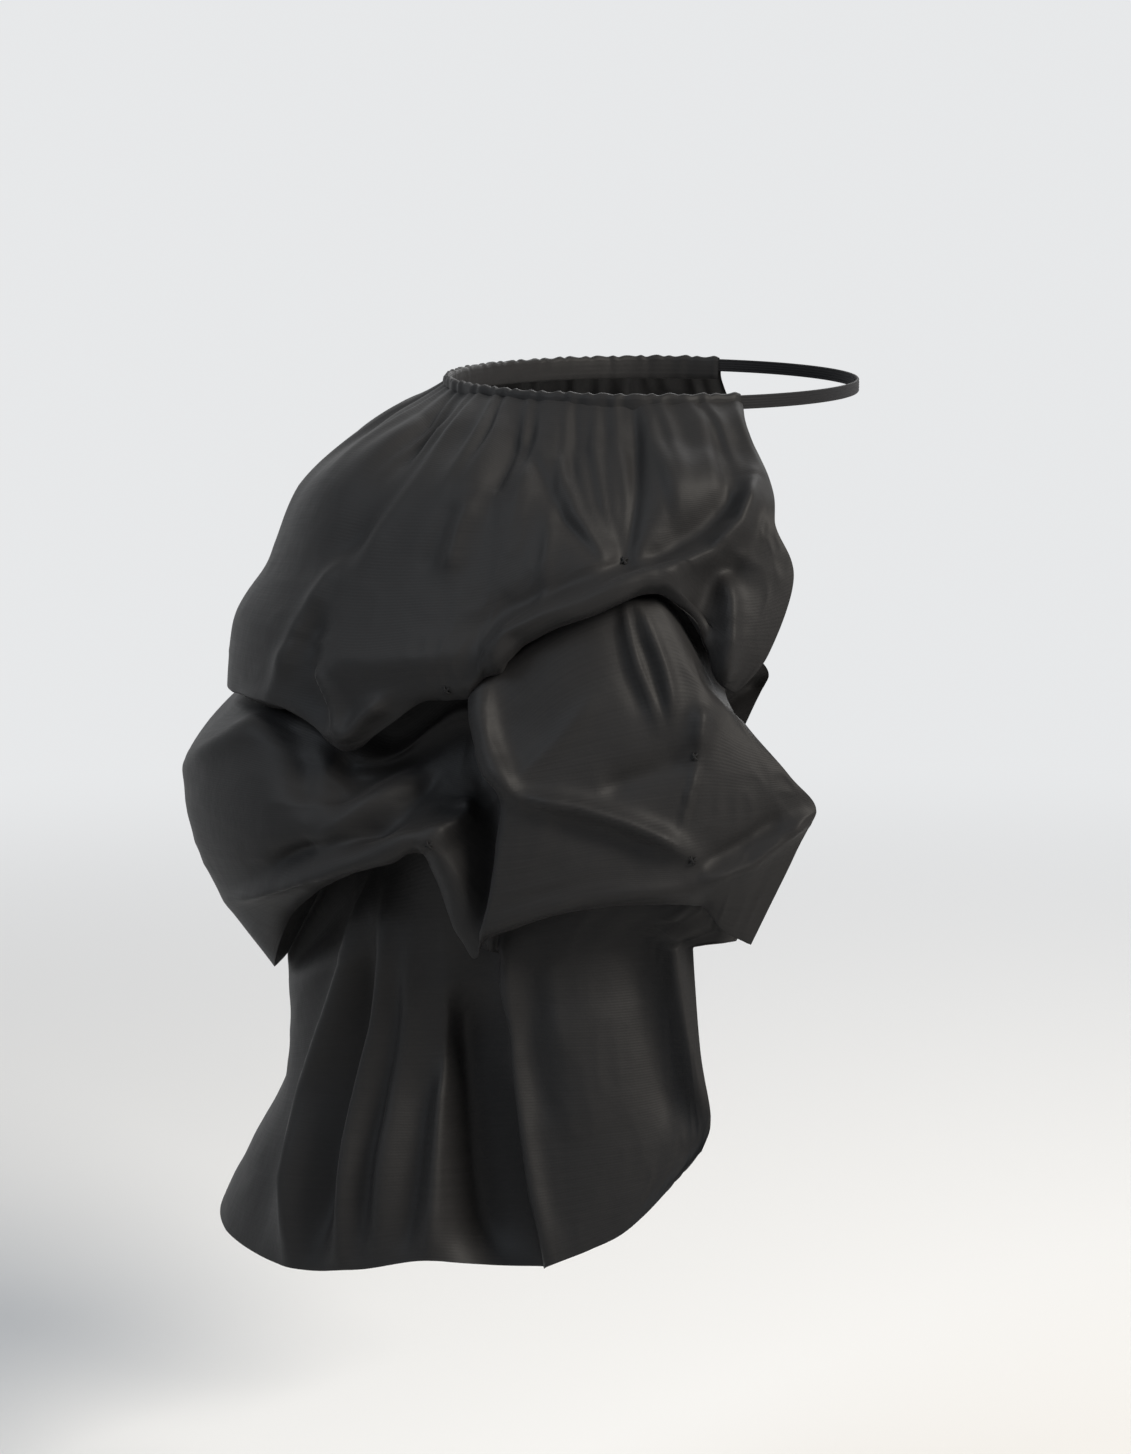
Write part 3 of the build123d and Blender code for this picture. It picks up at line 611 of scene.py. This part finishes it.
# Cloth: near-black with faint streaks along the weave, a soft sheen, fine crumples and the weave's own ribs.
def addCloth(name, colour, roughness, ribs, crumple):
    material = bpy.data.materials.new(name)
    material.use_nodes = True
    tree = material.node_tree
    link = tree.links.new
    shader = tree.nodes["Principled BSDF"]
    shader.inputs["Specular IOR Level"].default_value = 0.13
    shader.inputs["Sheen Weight"].default_value = 0.01
    shader.inputs["Sheen Roughness"].default_value = 0.4
    weave = node(tree, "ShaderNodeUVMap", uv_map="cloth")
    stretch = node(tree, "ShaderNodeVectorMath", operation="MULTIPLY")
    stretch.inputs[1].default_value = (25, 900, 1)
    streaks = node(tree, "ShaderNodeTexNoise", Scale=1.0, Detail=3.0)
    shade = node(tree, "ShaderNodeMix", data_type="RGBA")
    shade.inputs[6].default_value = (*(0.8 * value for value in colour), 1)
    shade.inputs[7].default_value = (*(1.25 * value for value in colour), 1)
    gloss = node(tree, "ShaderNodeMapRange")
    gloss.inputs["To Min"].default_value = roughness - 0.06
    gloss.inputs["To Max"].default_value = roughness + 0.06
    place = node(tree, "ShaderNodeTexCoord")
    rough = node(tree, "ShaderNodeTexNoise", Scale=55.0, Detail=4.0, Roughness=0.55)
    creased = node(tree, "ShaderNodeBump", Strength=crumple, Distance=0.004)
    threads = node(tree, "ShaderNodeTexWave", bands_direction="Y", Scale=ribs)
    ribbed = node(tree, "ShaderNodeBump", Strength=0.12, Distance=0.0002)
    link(weave.outputs["UV"], stretch.inputs[0])
    link(stretch.outputs["Vector"], streaks.inputs["Vector"])
    link(streaks.outputs["Fac"], shade.inputs["Factor"])
    link(shade.outputs[2], shader.inputs["Base Color"])
    link(streaks.outputs["Fac"], gloss.inputs["Value"])
    link(gloss.outputs["Result"], shader.inputs["Roughness"])
    link(place.outputs["Object"], rough.inputs["Vector"])
    link(rough.outputs["Fac"], creased.inputs["Height"])
    link(weave.outputs["UV"], threads.inputs["Vector"])
    link(threads.outputs["Fac"], ribbed.inputs["Height"])
    link(creased.outputs["Normal"], ribbed.inputs["Normal"])
    link(ribbed.outputs["Normal"], shader.inputs["Normal"])
    return material


# Plain dark sewing thread.
def addThread():
    material = bpy.data.materials.new("darkThread")
    material.use_nodes = True
    shader = material.node_tree.nodes["Principled BSDF"]
    shader.inputs["Base Color"].default_value = (0.008, 0.008, 0.0085, 1)
    shader.inputs["Roughness"].default_value = 0.7
    shader.inputs["Specular IOR Level"].default_value = 0.16
    return material


# Dress a piece, let it ride with the part and stand in for the CAD nodes that it shows.
def finish(piece, material, slot, *nodes):
    piece.data.materials.append(material)
    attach(piece, "root")
    if nodes:
        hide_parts(*nodes)


cloths = {                              # colour, roughness, ribs of the weave, fine crumples
    "blackTaffeta": ((0.0130, 0.0127, 0.0130), 0.56, 250.0, 0.12),
    "blackBraid": ((0.009, 0.009, 0.010), 0.65, 160.0, 0.0),
}
taffeta = addCloth("blackTaffeta", *cloths["blackTaffeta"])
braid = addCloth("blackBraid", *cloths["blackBraid"])
thread = addThread()
rightHalf, lineNames, rowPlaces = rightSheet(panel["columns"][0])
leftHalf = rightSheet(panel["columns"][1])[0]
drapedPanel = addDrapedPanel(rightHalf, leftHalf)
finish(drapedPanel, taffeta, "taffeta", "draped_panel")
print("panel made")
waistCasing = addCasing()
finish(waistCasing, taffeta, "casing_taffeta", "waist_casing")
waistElastic = addElastic()
finish(waistElastic, braid, "elastic", "waist_elastic")
print("waist made")
tackStitches = addTacks(rightHalf, lineNames, rowPlaces)
finish(tackStitches, thread, "thread", "tack_stitches")
casingSeam = addSeam()
finish(casingSeam, thread, "thread")
print("stitches made")


# Upright film of the photograph's shape, looking along the line to the middle of the drape.
def addCamera():
    camera = bpy.data.cameras.new("camera")
    camera.sensor_fit = "VERTICAL"
    camera.sensor_height = 36
    camera.lens = camera.sensor_height * aimLength / (photo["height"] * photo["scale"])
    holder = bpy.data.objects.new("camera", camera)
    holder.location = cameraAt
    holder.rotation_euler = Vector(lookAlong).to_track_quat("-Z", "Y").to_euler()
    bpy.context.collection.objects.link(holder)
    bpy.context.scene.camera = holder


lights = {                              # place, aim, size, power, colour
    "keyLight": ((1.25, 1.25, 1.15), (0, -0.05, -0.2), 0.8, 70, (1, 0.94, 0.85)),
    "sideLight": ((0.9, -1.7, 1.2), (0, -0.05, -0.1), 1.0, 18, (0.80, 0.90, 1)),
    "backLight": ((-1.6, 0.6, 1.2), (0, -0.05, -0.2), 1.5, 25, (1, 1, 1)),
}


# A square soft light that faces its aim.
def addLight(name, spot, target, size, power, colour):
    lamp = bpy.data.lights.new(name, "AREA")
    lamp.size = size
    lamp.energy = power
    lamp.color = colour
    holder = bpy.data.objects.new(name, lamp)
    holder.location = spot
    holder.rotation_euler = (Vector(target) - Vector(spot)).to_track_quat("-Z", "Y").to_euler()
    bpy.context.collection.objects.link(holder)


stage = {
    "drop": 0.25,                       # floor below the hem
    "pale": (0.80, 0.81, 0.82, 1),      # backdrop that the camera sees
    "fade": (0.7, 2.6),                 # where the floor turns into the backdrop, metres from the middle
    "skyLight": 0.11,
}


# Pale floor that turns into the backdrop with distance, and a world that is the backdrop to the camera.
def addStage():
    floorZ = cadBox[0].z - stage["drop"]
    x, y = np.meshgrid(np.linspace(-9, 9, 3), np.linspace(-9, 9, 3))
    points = np.stack([x, y, np.full(x.shape, floorZ)], axis=-1)[:, ::-1]
    floor = gridMesh("floor", points, points[..., :2])
    paint = bpy.data.materials.new("paleFloor")
    paint.use_nodes = True
    tree = paint.node_tree
    shader = tree.nodes["Principled BSDF"]
    shader.inputs["Base Color"].default_value = (0.8, 0.8, 0.8, 1)
    shader.inputs["Roughness"].default_value = 0.9
    place = tree.nodes.new("ShaderNodeTexCoord")
    flat = tree.nodes.new("ShaderNodeVectorMath")
    flat.operation = "MULTIPLY"
    flat.inputs[1].default_value = (1, 1, 0)
    far = tree.nodes.new("ShaderNodeVectorMath")
    far.operation = "LENGTH"
    ramp = tree.nodes.new("ShaderNodeMapRange")
    ramp.interpolation_type = "SMOOTHSTEP"
    ramp.inputs["From Min"].default_value = stage["fade"][0]
    ramp.inputs["From Max"].default_value = stage["fade"][1]
    glow = tree.nodes.new("ShaderNodeEmission")
    glow.inputs["Color"].default_value = stage["pale"]
    mix = tree.nodes.new("ShaderNodeMixShader")
    link = tree.links.new
    link(place.outputs["Object"], flat.inputs[0])
    link(flat.outputs["Vector"], far.inputs[0])
    link(far.outputs["Value"], ramp.inputs["Value"])
    link(ramp.outputs["Result"], mix.inputs["Fac"])
    link(shader.outputs["BSDF"], mix.inputs[1])
    link(glow.outputs["Emission"], mix.inputs[2])
    link(mix.outputs["Shader"], tree.nodes["Material Output"].inputs["Surface"])
    floor.data.materials.append(paint)
    world = bpy.data.worlds.new("studio")
    world.use_nodes = True
    tree = world.node_tree
    light = tree.nodes["Background"]
    light.inputs["Color"].default_value = (0.9, 0.92, 0.95, 1)
    light.inputs["Strength"].default_value = stage["skyLight"]
    backdrop = tree.nodes.new("ShaderNodeBackground")
    backdrop.inputs["Color"].default_value = stage["pale"]
    path = tree.nodes.new("ShaderNodeLightPath")
    mix = tree.nodes.new("ShaderNodeMixShader")
    mirrored = node(tree, "ShaderNodeMath", operation="MAXIMUM")
    seen = node(tree, "ShaderNodeMath", operation="MAXIMUM")
    tree.links.new(path.outputs["Is Glossy Ray"], mirrored.inputs[0])
    tree.links.new(path.outputs["Is Transmission Ray"], mirrored.inputs[1])
    tree.links.new(path.outputs["Is Camera Ray"], seen.inputs[0])
    tree.links.new(mirrored.outputs["Value"], seen.inputs[1])
    tree.links.new(seen.outputs["Value"], mix.inputs["Fac"])
    tree.links.new(light.outputs["Background"], mix.inputs[1])
    tree.links.new(backdrop.outputs["Background"], mix.inputs[2])
    tree.links.new(mix.outputs["Shader"], tree.nodes["World Output"].inputs["Surface"])
    bpy.context.scene.world = world


addCamera()
addStage()
for name, values in lights.items():
    addLight(name, *values)
print("stage made")
bpy.context.scene.view_settings.view_transform = "Standard"
